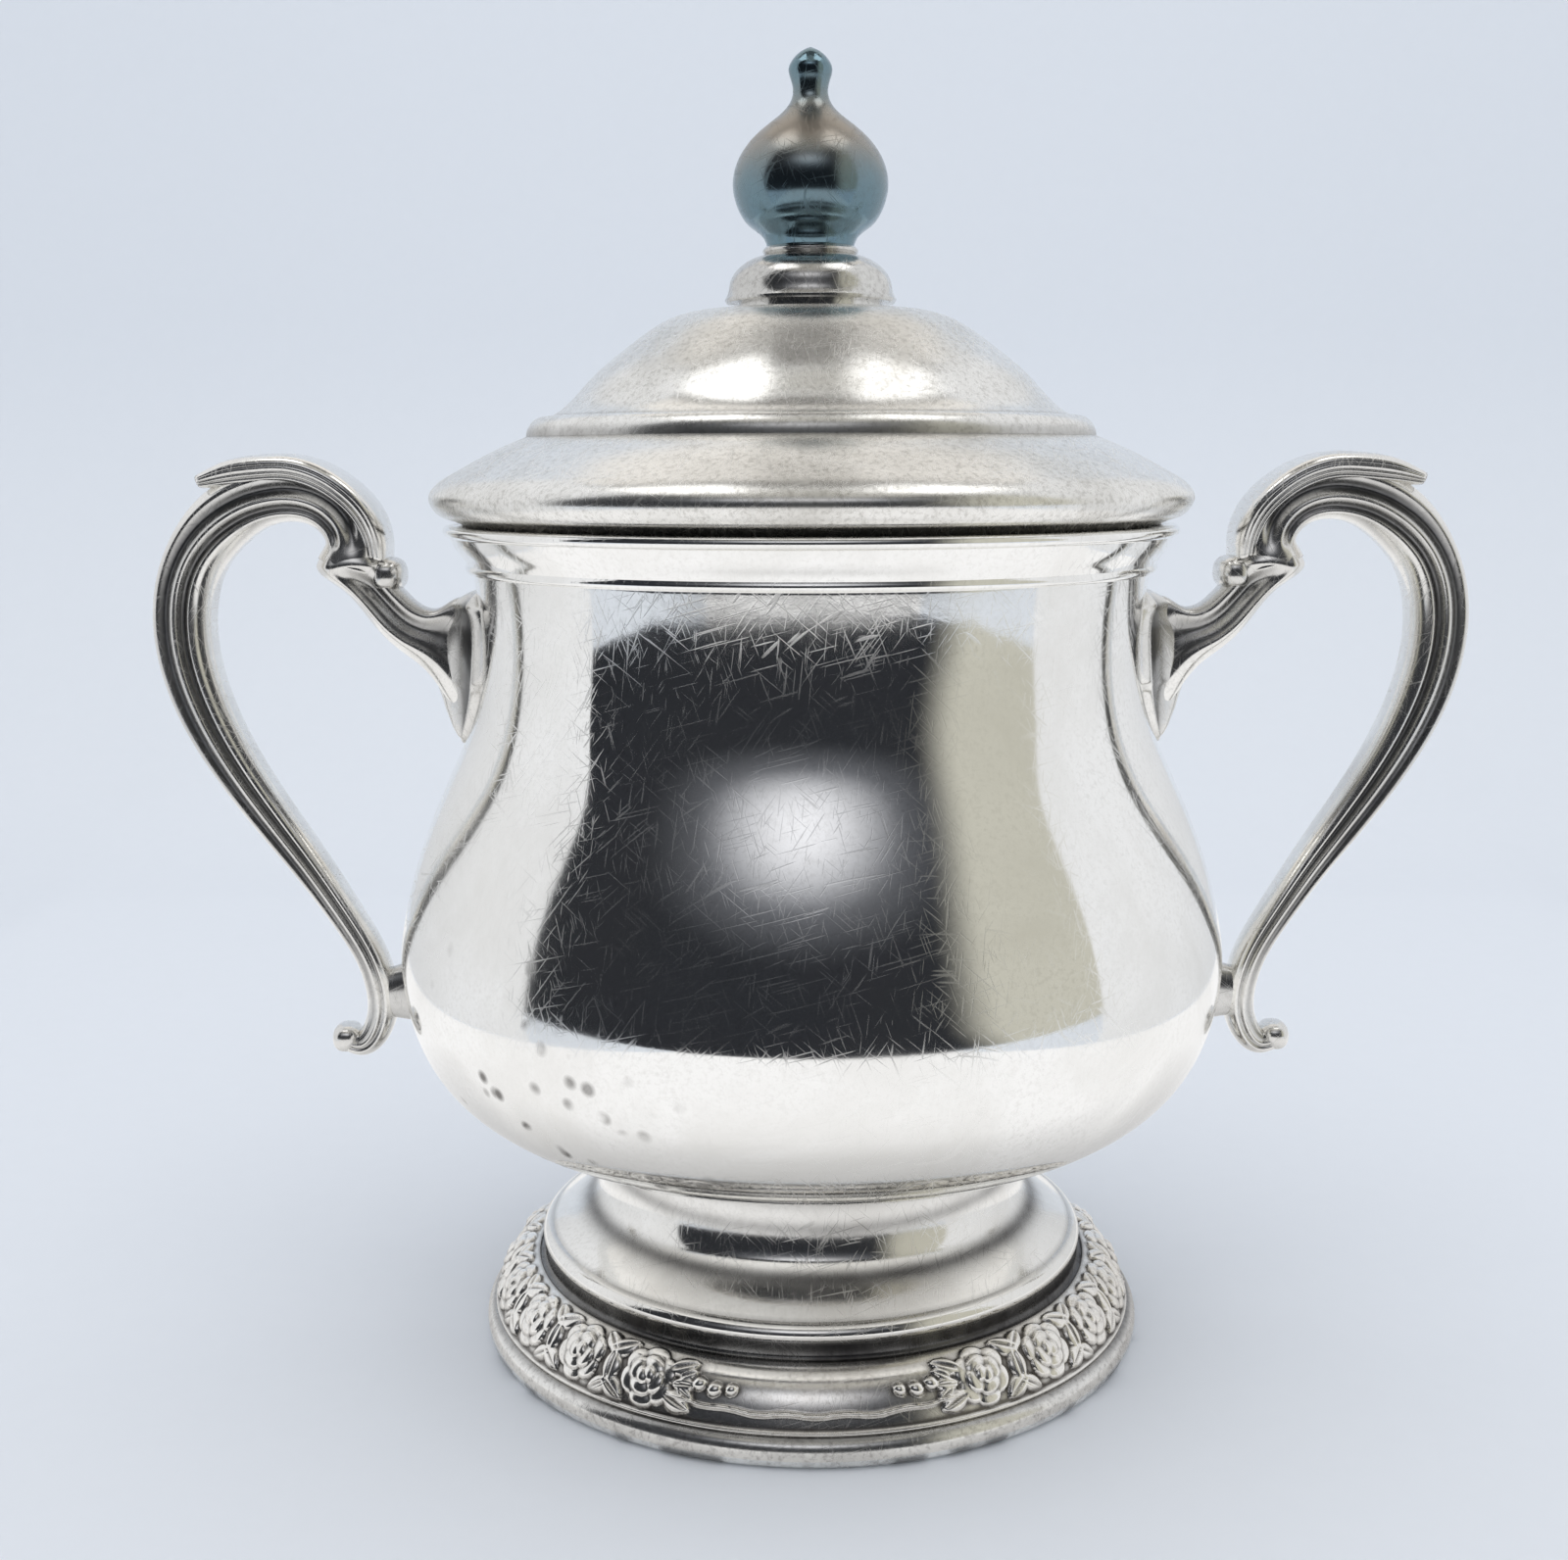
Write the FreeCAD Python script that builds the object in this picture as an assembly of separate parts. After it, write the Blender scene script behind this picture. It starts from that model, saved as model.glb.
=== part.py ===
import FreeCAD, Part

import math
import os

# Lidded sugar bowl of silver-plated metal, in millimetres.
# The origin is the middle of the circle on which the foot stands, +Z is up,
# and the two handles lie along X.

V = FreeCAD.Vector

# ---- driving dimensions -------------------------------------------------

WALL = 1.0                # spun wall of the bowl
LID_WALL = 0.9            # spun wall of the lid and of the foot

BELLY_RADIUS = 53.6
NECK_RADIUS = 42.2
MOUTH_OUTER = 43.0        # outside of the bowl where the mouth band sits
MOUTH_INNER = MOUTH_OUTER - WALL
BOWL_FLOOR = 27.0         # height of the bowl's underside above the table
BOWL_TOP = 106.2          # top edge of the spun bowl, under the mouth band
RIM_TOP = 107.1           # top of the mouth band, where the lid rests

FOOT_RADIUS = 44.0
FOOT_CONTACT = 42.8       # outer edge of the flat ring the foot stands on
FOOT_NECK = 27.0
FOOT_DOME = 34.9          # where the smooth dome of the foot ends
FOOT_DOME_EDGE = 14.2     # height of that edge
BORDER_INNER = 36.8       # where the floral border meets the pedestal
RIM_WIRE_INNER = 41.3     # hollow under the foot, inside the rim wire
RIM_WIRE_TOP = 3.7
RIM_WIRE_LIP = 43.0       # outer edge of the wire's flat top
BORDER_BACK = 8.6         # height of the border's back where it meets the pedestal

LID_RADIUS = 48.2
LID_CROWN = 133.4         # flat crown of the lid under the finial
LID_SEAT_OUTER = 44.0
BEZEL_OUTER = 41.5        # 0.5 mm clear of the mouth all round
BEZEL_WALL = 0.9
BEZEL_BOTTOM = 101.6
SEAT_THICKNESS = 1.0      # the lid's flat flange on the rim

STUD_RADIUS = 1.6
STUD_BOTTOM = 127.2
STUD_TOP = 150.0
SEAT_DISC_RADIUS = 9.0
SEAT_DISC_TOP = 134.4
CUP_TOP = 141.2
FINIAL_TOP = 165.2
WASHER_RADIUS = 5.0
WASHER_THICKNESS = 0.8
NUT_ACROSS_FLATS = 7.0
NUT_THICKNESS = 3.0


# ---- helpers ------------------------------------------------------------

def at(radius, height):
    """A point of a turned profile, in the XZ half-plane."""
    return V(radius, 0, height)


def spline(points):
    """A smooth edge through (radius, height) points."""
    curve = Part.BSplineCurve()
    curve.interpolate([at(r, z) for r, z in points])
    return curve.toShape()


def line(start, end):
    return Part.makeLine(at(*start), at(*end))


def path(*pieces):
    """Joins splines (lists of three or more points) and straight runs into
    one closed profile: each piece is a list of points, and neighbouring
    pieces and the two ends are joined by straight lines."""
    edges = []
    last = pieces[-1][-1]
    for points in pieces:
        if math.dist(last, points[0]) > 1e-6:
            edges.append(line(last, points[0]))
        if len(points) > 2:
            edges.append(spline(points))
        elif len(points) == 2:
            edges.append(line(points[0], points[1]))
        last = points[-1]
    return Part.Face(Part.Wire(edges))


def turned(face):
    """Turns a closed profile round the Z axis."""
    return face.revolve(V(0, 0, 0), V(0, 0, 1), 360)


def inset(points, distance):
    """The same run of points moved by a wall thickness, towards the axis
    where the run goes down and downwards where it goes outwards."""
    moved = []
    last = len(points) - 1
    for i, (r, z) in enumerate(points):
        r0, z0 = points[max(i - 1, 0)]
        r1, z1 = points[min(i + 1, last)]
        length = math.hypot(r1 - r0, z1 - z0)
        moved.append((r + distance * (z1 - z0) / length, z - distance * (r1 - r0) / length))
    return moved


def ring(inner, outer, bottom, top):
    """A plain tube or washer about the Z axis."""
    return turned(path([(inner, bottom), (outer, bottom)], [(outer, top), (inner, top)]))


def oval_section(centre, across, half_depth, half_width, squareness=2.4):
    """A closed, slightly squared oval: half_depth along `across`, which lies
    in the XZ plane, and half_width along Y."""
    points = []
    count = 12
    for i in range(count):
        angle = 2 * math.pi * i / count
        c, s = math.cos(angle), math.sin(angle)
        u = half_depth * math.copysign(abs(c) ** (2 / squareness), c)
        w = half_width * math.copysign(abs(s) ** (2 / squareness), s)
        points.append(centre + across * u + V(0, w, 0))
    curve = Part.BSplineCurve()
    curve.interpolate(points, PeriodicFlag=True)
    return Part.Wire(curve.toShape())


def lofted(stations, start_direction):
    """A solid through sections placed square to a path in the XZ plane, the
    first one square to start_direction. Each station is (x, z, half depth,
    half width)."""
    sections = []
    last = len(stations) - 1
    for i, (x, z, half_depth, half_width) in enumerate(stations):
        x0, z0 = stations[max(i - 1, 0)][:2]
        x1, z1 = stations[min(i + 1, last)][:2]
        along = V(x1 - x0, 0, z1 - z0).normalize() if i else start_direction
        across = V(-along.z, 0, along.x)
        sections.append(oval_section(V(x, 0, z), across, half_depth, half_width))
    return Part.makeLoft(sections, True, False)


# ---- bowl ---------------------------------------------------------------

# Outside of the bowl, from the mouth down over neck and belly to the floor.
BOWL_OUTSIDE = [
    (MOUTH_OUTER, 101.4),
    (NECK_RADIUS + 0.2, 96.0),
    (NECK_RADIUS, 91.5),
    (43.1, 84.0),
    (46.7, 75.0),
    (50.4, 66.2),
    (52.9, 57.2),
    (BELLY_RADIUS, 51.5),
    (53.0, 46.2),
    (50.4, 39.2),
    (47.0, 35.0),
    (42.6, 32.0),
    (36.8, 29.7),
    (30.6, 27.9),
    (24.0, BOWL_FLOOR),
]


def bowl_solid():
    """The bowl without its hollow, used to fit other pieces to it."""
    return turned(path(BOWL_OUTSIDE, [(0, BOWL_FLOOR), (0, BOWL_TOP)], [(MOUTH_OUTER, BOWL_TOP)]))


def bowl_shell():
    inside = inset(BOWL_OUTSIDE, WALL)
    floor = BOWL_FLOOR + WALL
    inside[0] = (MOUTH_INNER, BOWL_OUTSIDE[0][1])
    inside[-1] = (inside[-1][0], floor)
    hollow = turned(path(inside, [(0, floor), (0, BOWL_TOP + 1)], [(MOUTH_INNER, BOWL_TOP + 1)]))
    return bowl_solid().cut(hollow)


def mouth_band():
    """Flared moulding: a bead at the bottom, a hollow flare and a rounded lip."""
    flare = [(43.9, 102.5), (44.5, 103.3), (45.3, 104.6), (45.8, 105.6)]
    lip = [(46.2, 105.9), (46.6, 106.4), (46.3, RIM_TOP)]
    bead = [(MOUTH_OUTER, 101.0), (43.7, 101.5), (43.9, 102.1)]
    return turned(path(
        bead, flare, lip, [(MOUTH_INNER, RIM_TOP), (MOUTH_INNER, BOWL_TOP)], [(MOUTH_OUTER, BOWL_TOP)]))


# ---- foot ---------------------------------------------------------------

PEDESTAL_OUTSIDE = [
    (28.3, 29.5),
    (27.4, 26.8),
    (FOOT_NECK, 24.0),
    (27.3, 21.2),
    (28.2, 18.8),
    (30.1, 17.0),
    (32.6, 15.6),
    (FOOT_DOME, FOOT_DOME_EDGE),
]


def foot_pedestal():
    """Hollow neck and dome, with a bead and a groove at the outer edge."""
    bead = [(FOOT_DOME, FOOT_DOME_EDGE), (35.8, 13.8), (36.3, 13.0), (36.1, 12.0)]
    groove = [(36.0, 10.4), (BORDER_INNER, 9.9)]
    edge = [(BORDER_INNER, BORDER_BACK), (BORDER_INNER - 1.4, BORDER_BACK)]
    inside = inset(PEDESTAL_OUTSIDE, LID_WALL)
    inside[-1] = (FOOT_DOME - 0.8, FOOT_DOME_EDGE - 0.8)
    blank = turned(path(PEDESTAL_OUTSIDE, bead, groove, edge, inside[::-1]))
    return blank.cut(bowl_solid())


BORDER_OUTSIDE = [
    (BORDER_INNER, 10.1),
    (38.6, 9.5),
    (40.3, 8.1),
    (41.6, 6.1),
    (42.2, 4.9),
    (RIM_WIRE_LIP - 0.3, RIM_WIRE_TOP),
]


def foot_border():
    """The ring under the floral relief: a bulging slope with a hollow back."""
    inside = inset(BORDER_OUTSIDE, 1.3)
    inside[0] = (BORDER_INNER, BORDER_BACK)
    inside[-1] = (RIM_WIRE_INNER, RIM_WIRE_TOP)
    return turned(path(BORDER_OUTSIDE, inside[::-1]))


def foot_rim():
    """Plain wire with a rounded outer face, flat underneath."""
    upper = [(RIM_WIRE_LIP + 0.5, RIM_WIRE_TOP - 0.4), (FOOT_RADIUS, 2.0)]
    face = [*upper, (FOOT_RADIUS - 0.3, 0.7), (FOOT_CONTACT, 0)]
    top = [(RIM_WIRE_INNER, RIM_WIRE_TOP), (RIM_WIRE_LIP, RIM_WIRE_TOP)]
    return turned(path(top, face, [(RIM_WIRE_INNER, 0)]))


# ---- handles ------------------------------------------------------------

# The right-hand scroll, from its joint with the palm, over the top, down the
# outside and into the curled tail: x, z, half depth, half width.
SCROLL_STATIONS = [
    (58.9, 101.5, 4.6, 4.3),
    (58.3, 104.4, 4.0, 3.9),
    (59.3, 107.8, 4.0, 4.0),
    (62.3, 110.5, 4.1, 4.2),
    (66.6, 111.5, 4.2, 4.4),
    (71.3, 110.5, 4.2, 4.5),
    (75.5, 107.5, 4.1, 4.5),
    (78.9, 103.1, 3.9, 4.4),
    (80.8, 97.4, 3.9, 4.3),
    (80.9, 91.0, 3.8, 4.2),
    (79.2, 84.0, 3.6, 4.0),
    (75.6, 76.4, 3.2, 3.8),
    (70.8, 68.9, 2.8, 3.5),
    (65.9, 61.9, 2.4, 3.3),
    (61.6, 55.2, 2.1, 3.1),
    (58.6, 49.6, 2.0, 3.0),
    (57.4, 44.6, 2.0, 2.9),
    (58.0, 40.4, 1.9, 2.8),
    (60.2, 37.9, 1.7, 2.7),
    (62.4, 38.3, 1.4, 2.5),
]

# The palm, from the same joint inwards to the neck of the bowl.
PALM_STATIONS = [
    (58.9, 101.5, 4.6, 4.3),
    (57.0, 98.8, 3.3, 3.8),
    (53.6, 95.6, 3.3, 3.9),
    (49.4, 93.0, 4.4, 5.4),
    (45.8, 90.4, 8.2, 7.8),
    (41.0, 88.6, 10.0, 9.0),
]

PAD_OUTLINE = [(50.0, 39.6), (57.0, 41.2), (57.6, 44.6), (58.4, 48.6), (50.0, 50.0)]
PAD_HALF_WIDTH = 2.6


def handle_scroll():
    corners = [V(x, -PAD_HALF_WIDTH, z) for x, z in PAD_OUTLINE]
    outline = Part.makePolygon(corners + corners[:1])
    pad = Part.Face(outline).extrude(V(0, 2 * PAD_HALF_WIDTH, 0))
    return lofted(SCROLL_STATIONS, V(0, 0, 1)).fuse(pad).removeSplitter().cut(bowl_solid())


def handle_palm():
    """Starts on the scroll's own end face and spreads into a leaf on the neck."""
    return lofted(PALM_STATIONS, V(0, 0, -1)).cut(bowl_solid())


def mirrored(shape):
    """The left-hand twin of a right-hand piece."""
    return shape.mirror(V(0, 0, 0), V(1, 0, 0))


# ---- lid ----------------------------------------------------------------

LID_OUTSIDE = [
    (12.0, LID_CROWN),
    (15.5, 133.1),
    (18.6, 132.0),
    (22.9, 129.1),
    (27.9, 124.9),
    (31.7, 121.1),
    (33.0, 120.3),
]
STEP_BEAD = [(33.0, 120.3), (34.2, 120.3), (35.2, 119.7), (35.8, 118.8), (36.0, 117.9)]
LID_SKIRT = [
    (36.0, 117.9),
    (40.4, 116.0),
    (45.2, 113.4),
    (47.4, 111.9),
    (LID_RADIUS, 110.5),
    (47.8, 109.2),
    (46.8, 108.2),
    (45.4, 107.7),
]
SKIRT_INSIDE = [
    (44.6, 108.9),
    (46.3, 109.6),
    (47.0, 110.6),
    (46.4, 111.4),
    (44.6, 112.6),
    (39.9, 115.1),
    (35.4, 116.9),
]
DOME_INSIDE = [
    (32.6, 118.9),
    (31.0, 120.3),
    (27.2, 124.1),
    (22.3, 128.3),
    (18.2, 131.1),
    (15.3, 132.2),
    (12.0, LID_CROWN - LID_WALL),
]


def lid_shell():
    """Two-stage dome, closed underneath by the flat flange that rests on the rim."""
    flange_top = RIM_TOP + SEAT_THICKNESS
    flange = [(LID_SEAT_OUTER, RIM_TOP), (BEZEL_OUTER, RIM_TOP)]
    flange_upper = [(BEZEL_OUTER, flange_top), (LID_SEAT_OUTER, flange_top)]
    crown = [(STUD_RADIUS, LID_CROWN - LID_WALL), (STUD_RADIUS, LID_CROWN)]
    return turned(path(
        LID_OUTSIDE, STEP_BEAD, LID_SKIRT, flange, flange_upper, SKIRT_INSIDE, DOME_INSIDE, crown))


def lid_bezel():
    """The locating ring, soldered into the flange."""
    return ring(BEZEL_OUTER - BEZEL_WALL, BEZEL_OUTER, BEZEL_BOTTOM, RIM_TOP + SEAT_THICKNESS)


# ---- finial -------------------------------------------------------------

def finial_seat():
    return ring(STUD_RADIUS, SEAT_DISC_RADIUS, LID_CROWN, SEAT_DISC_TOP)


def finial_cup():
    """Bell-shaped base with an overhanging rim and a small ring on top."""
    lower = [(10.8, SEAT_DISC_TOP + 0.4), (10.4, 135.6), (10.1, 137.0)]
    bell = [*lower, (9.2, 138.5), (7.5, 139.7), (5.7, 140.3)]
    bead = [(5.7, 140.3), (6.0, 140.7), (5.7, CUP_TOP)]
    bottom = [(STUD_RADIUS, SEAT_DISC_TOP), (10.6, SEAT_DISC_TOP)]
    return turned(path(bottom, bell, bead, [(STUD_RADIUS, CUP_TOP)]))


BULB_OUTSIDE = [
    (5.4, CUP_TOP),
    (5.9, 142.4),
    (7.7, 143.9),
    (9.1, 146.0),
    (9.7, 148.5),
    (9.2, 151.3),
    (7.3, 154.2),
    (4.6, 156.5),
    (2.8, 158.2),
    (2.2, 159.6),
    (2.4, 161.2),
    (2.7, 162.7),
    (2.2, 163.7),
    (1.1, 164.7),
    (0, FINIAL_TOP),
]


def finial_bulb():
    """Onion-shaped bulb with a bud, bored for the stud from below."""
    bore = [(0, STUD_TOP), (STUD_RADIUS, STUD_TOP), (STUD_RADIUS, CUP_TOP)]
    return turned(path(BULB_OUTSIDE, bore[:2], bore[2:]))


def finial_stud():
    return Part.makeCylinder(STUD_RADIUS, STUD_TOP - STUD_BOTTOM, V(0, 0, STUD_BOTTOM))


def finial_washer():
    top = LID_CROWN - LID_WALL
    return ring(STUD_RADIUS, WASHER_RADIUS, top - WASHER_THICKNESS, top)


def finial_nut():
    top = LID_CROWN - LID_WALL - WASHER_THICKNESS
    corner = NUT_ACROSS_FLATS / math.sqrt(3)
    corners = [V(corner, 0, 0)]
    for i in range(1, 7):
        angle = i * math.pi / 3
        corners.append(V(corner * math.cos(angle), corner * math.sin(angle), 0))
    blank = Part.Face(Part.makePolygon(corners)).extrude(V(0, 0, NUT_THICKNESS))
    blank.translate(V(0, 0, top - NUT_THICKNESS))
    return blank.cut(Part.makeCylinder(STUD_RADIUS, 2 * NUT_THICKNESS, V(0, 0, top - 1.5 * NUT_THICKNESS)))


# ---- assembly -----------------------------------------------------------

scroll = handle_scroll()
palm = handle_palm()

NODES = {
    "bowl_shell": bowl_shell(),
    "mouth_band": mouth_band(),
    "foot_pedestal": foot_pedestal(),
    "foot_border": foot_border(),
    "foot_rim": foot_rim(),
    "handle_scroll_right": scroll,
    "handle_scroll_left": mirrored(scroll),
    "handle_palm_right": palm,
    "handle_palm_left": mirrored(palm),
    "lid_shell": lid_shell(),
    "lid_bezel": lid_bezel(),
    "finial_seat": finial_seat(),
    "finial_cup": finial_cup(),
    "finial_bulb": finial_bulb(),
    "finial_stud": finial_stud(),
    "finial_washer": finial_washer(),
    "finial_nut": finial_nut(),
}

os.makedirs("parts", exist_ok=True)
for name, shape in NODES.items():
    solids = shape.Solids
    if len(solids) != 1 or not shape.isValid():
        raise ValueError(f"{name}: {len(solids)} solids, valid {shape.isValid()}")
    box = solids[0].BoundBox
    print(f"{name}: volume {solids[0].Volume:.0f}, x {box.XMin:.1f} to {box.XMax:.1f}, "
          f"z {box.ZMin:.1f} to {box.ZMax:.1f}")
    solids[0].exportStep(f"parts/{name}.step")
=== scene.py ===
import math

import bmesh
import bpy
import numpy as np
from mathutils import Matrix


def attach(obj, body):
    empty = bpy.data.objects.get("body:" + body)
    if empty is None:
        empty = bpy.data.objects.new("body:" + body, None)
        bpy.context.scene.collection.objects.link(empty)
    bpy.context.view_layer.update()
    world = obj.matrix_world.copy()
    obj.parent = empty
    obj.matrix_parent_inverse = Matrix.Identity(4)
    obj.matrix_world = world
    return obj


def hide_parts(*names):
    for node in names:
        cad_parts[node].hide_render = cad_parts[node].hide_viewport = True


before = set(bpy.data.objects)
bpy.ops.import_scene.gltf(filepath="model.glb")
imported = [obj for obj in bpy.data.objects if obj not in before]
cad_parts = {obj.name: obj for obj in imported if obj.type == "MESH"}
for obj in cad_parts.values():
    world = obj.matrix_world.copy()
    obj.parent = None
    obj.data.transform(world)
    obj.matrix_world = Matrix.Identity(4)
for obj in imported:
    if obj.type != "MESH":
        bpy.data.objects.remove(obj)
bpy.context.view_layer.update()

# Lidded sugar bowl in worn silver plate. Sizes are in millimetres in the
# frame's own axes (+Z up, handles along X) and become metres where an object
# is made. The turned pieces keep to the radii and heights of the CAD solids.

MM = 0.001
SEGMENTS = 288            # steps round a turned piece
SAME_POINT = 1e-4         # points nearer than this are one


# ---- curves and mesh builders ---------------------------------------------

def smooth(points, steps=8):
    """A natural cubic curve through a few points, sampled between them."""
    points = np.array(points, float)
    count = len(points)
    if count < 3:
        return points
    gaps = np.linalg.norm(np.diff(points[:, :2], axis=0), axis=1)
    system = np.eye(count)
    right = np.zeros_like(points)
    for i in range(1, count - 1):
        system[i, i - 1:i + 2] = gaps[i - 1], 2 * (gaps[i - 1] + gaps[i]), gaps[i]
        right[i] = 6 * ((points[i + 1] - points[i]) / gaps[i]
                        - (points[i] - points[i - 1]) / gaps[i - 1])
    bend = np.linalg.solve(system, right)
    curve = []
    for i in range(count - 1):
        slope = (points[i + 1] - points[i]) / gaps[i] - gaps[i] * (2 * bend[i] + bend[i + 1]) / 6
        for share in np.arange(steps) / steps:
            x = share * gaps[i]
            curve.append(points[i] + slope * x + bend[i] / 2 * x ** 2
                         + (bend[i + 1] - bend[i]) / (6 * gaps[i]) * x ** 3)
    curve.append(points[-1])
    return np.array(curve)


def unit_tangents(points):
    tangent = np.gradient(points, axis=0)
    return tangent / np.linalg.norm(tangent, axis=1)[:, None]


def inset(points, distance):
    """Profile points moved by a wall thickness, towards the axis where the
    run goes down and downwards where it goes outwards."""
    points = np.array(points, float)
    tangent = unit_tangents(points)
    return points + distance * np.stack([tangent[:, 1], -tangent[:, 0]], axis=1)


def bump(x, centre, spread):
    return np.exp(-((x - centre) / spread) ** 2)


def ramp(x, low, high):
    """0 below low, 1 above high, smooth between."""
    share = np.clip((x - low) / (high - low), 0, 1)
    return share * share * (3 - 2 * share)


def mesh_piece(name, shells, material, body, replaces=(), sharp=()):
    """One object from closed shells, each (points in mm, faces, recess). The
    recess of a point is 0 on open metal and 1 deep in a hollow."""
    points = []
    faces = []
    recess = []
    for shell_points, shell_faces, shell_recess in shells:
        start = len(points)
        points.extend(np.asarray(shell_points, float) * MM)
        faces.extend([start + i for i in face] for face in shell_faces)
        recess.extend(np.broadcast_to(shell_recess, len(shell_points)))
    mesh = bpy.data.meshes.new(name)
    mesh.from_pydata([tuple(p) for p in points], [], faces)
    mesh.attributes.new("recess", "FLOAT", "POINT").data.foreach_set("value", recess)
    work = bmesh.new()
    work.from_mesh(mesh)
    bmesh.ops.recalc_face_normals(work, faces=work.faces)
    work.to_mesh(mesh)
    work.free()
    mesh.polygons.foreach_set("use_smooth", [True] * len(mesh.polygons))
    crisp = {frozenset(pair) for pair in sharp}
    if crisp:
        for edge in mesh.edges:
            edge.use_edge_sharp = frozenset(edge.vertices) in crisp
    mesh.materials.append(material)
    piece = bpy.data.objects.new(name, mesh)
    bpy.context.scene.collection.objects.link(piece)
    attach(piece, body)
    if replaces:
        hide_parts(*replaces)


def lathe(runs, segments=SEGMENTS):
    """A turned shell. Each run of (radius, height) points is smooth, and
    corners where one run meets the next are crisp; the profile closes on
    itself. Gives the points, the faces and the crisp edges."""
    profile = []
    corners = set()
    for run in runs:
        for point in np.asarray(run, float):
            if not profile or np.linalg.norm(point - profile[-1]) > SAME_POINT:
                profile.append(point)
        corners.add(len(profile) - 1)
    if np.linalg.norm(profile[0] - profile[-1]) < SAME_POINT:
        profile.pop()
    corners = {i % len(profile) for i in corners} | {0}
    angles = np.arange(segments) * 2 * math.pi / segments
    points = []
    rings = []
    for radius, height in profile:
        start = len(points)
        if radius < SAME_POINT:
            points.append((0, 0, height))
            rings.append([start] * segments)
        else:
            points.extend((radius * math.cos(a), radius * math.sin(a), height) for a in angles)
            rings.append(list(range(start, start + segments)))
    faces = []
    sharp = []
    for i, low in enumerate(rings):
        high = rings[(i + 1) % len(rings)]
        for k in range(segments):
            n = (k + 1) % segments
            loop = list(dict.fromkeys([low[k], low[n], high[n], high[k]]))
            if len(loop) > 2:
                faces.append(loop)
            if i in corners and low[k] != low[n]:
                sharp.append((low[k], low[n]))
    return points, faces, sharp


def radius_and_level(points):
    points = np.array(points)
    return np.hypot(points[:, 0], points[:, 1]), points[:, 2]


def turned_piece(name, runs, material, body, node, segments=SEGMENTS):
    points, faces, sharp = lathe(runs, segments)
    mesh_piece(name, [(points, faces, 0.0)], material, body, [node], sharp)


END_STEPS = (0.35, 0.65, 0.85, 0.96)      # stations of a ribbon's rounded end


def ribbon(inner, outer, widths, relief, mirror, half, power=2.4, round_end=True):
    """A closed shell between an inner and an outer edge in the XZ plane.
    relief(share along, place across from -1 to 1) gives the part of the half
    width to take away and the recess value there. mirror is -1 for the
    left-hand twin, half the steps across, and power the section's squareness."""
    inner = np.asarray(inner, float)
    outer = np.asarray(outer, float)
    middle = (inner + outer) / 2
    across = (outer - inner) / 2
    along = unit_tangents(middle)
    last = len(middle) - 1
    stations = [(middle[i], across[i], widths[i], i / last) for i in range(last + 1)]
    if round_end:
        for step in END_STEPS:
            shrink = math.sqrt(1 - step * step)
            reach = along[-1] * step * np.linalg.norm(across[-1])
            stations.append((middle[-1] + reach, across[-1] * shrink, widths[-1] * shrink, 1.0))
    steps = list(range(half + 1)) + list(range(half - 1, 0, -1))
    side = [1] * (half + 1) + [-1] * (half - 1)
    points = []
    recess = []
    for centre, reach, width, share in stations:
        for step, sign in zip(steps, side):
            place = math.cos(math.pi * step / half)
            full = max(0.0, 1 - abs(place) ** power) ** (1 / power)
            cut, deep = relief(share, place)
            x, z = centre + reach * place
            points.append((mirror * x, sign * width * full * (1 - cut), z))
            recess.append(deep)
    ring = len(steps)
    faces = []
    for i in range(len(stations) - 1):
        for k in range(ring):
            n = (k + 1) % ring
            faces.append([i * ring + k, i * ring + n, (i + 1) * ring + n, (i + 1) * ring + k])
    faces.append(list(range(ring)))
    faces.append([(len(stations) - 1) * ring + k for k in range(ring)])
    return points, faces, recess


KNOB_POWER = 2.6          # 2 is a plain ball, more is squarer
KNOB_RECESS = 0.15


def ball(centre, radii, mirror, rows=20, columns=32):
    """A slightly squared round knob."""
    points = []
    for i in range(rows + 1):
        up = math.pi * i / rows
        for k in range(columns):
            turn = 2 * math.pi * k / columns
            flat = math.sin(up)
            direction = np.array([flat * math.cos(turn), math.cos(up), flat * math.sin(turn)])
            size = np.sum(np.abs(direction) ** KNOB_POWER) ** (-1 / KNOB_POWER)
            x, y, z = np.array(centre) + direction * np.array(radii) * size
            points.append((mirror * x, y, z))
    faces = []
    for i in range(rows):
        for k in range(columns):
            n = (k + 1) % columns
            low = i * columns
            high = low + columns
            faces.append([low + k, low + n, high + n, high + k])
    return points, faces, KNOB_RECESS


# ---- material kit -----------------------------------------------------------

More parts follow.
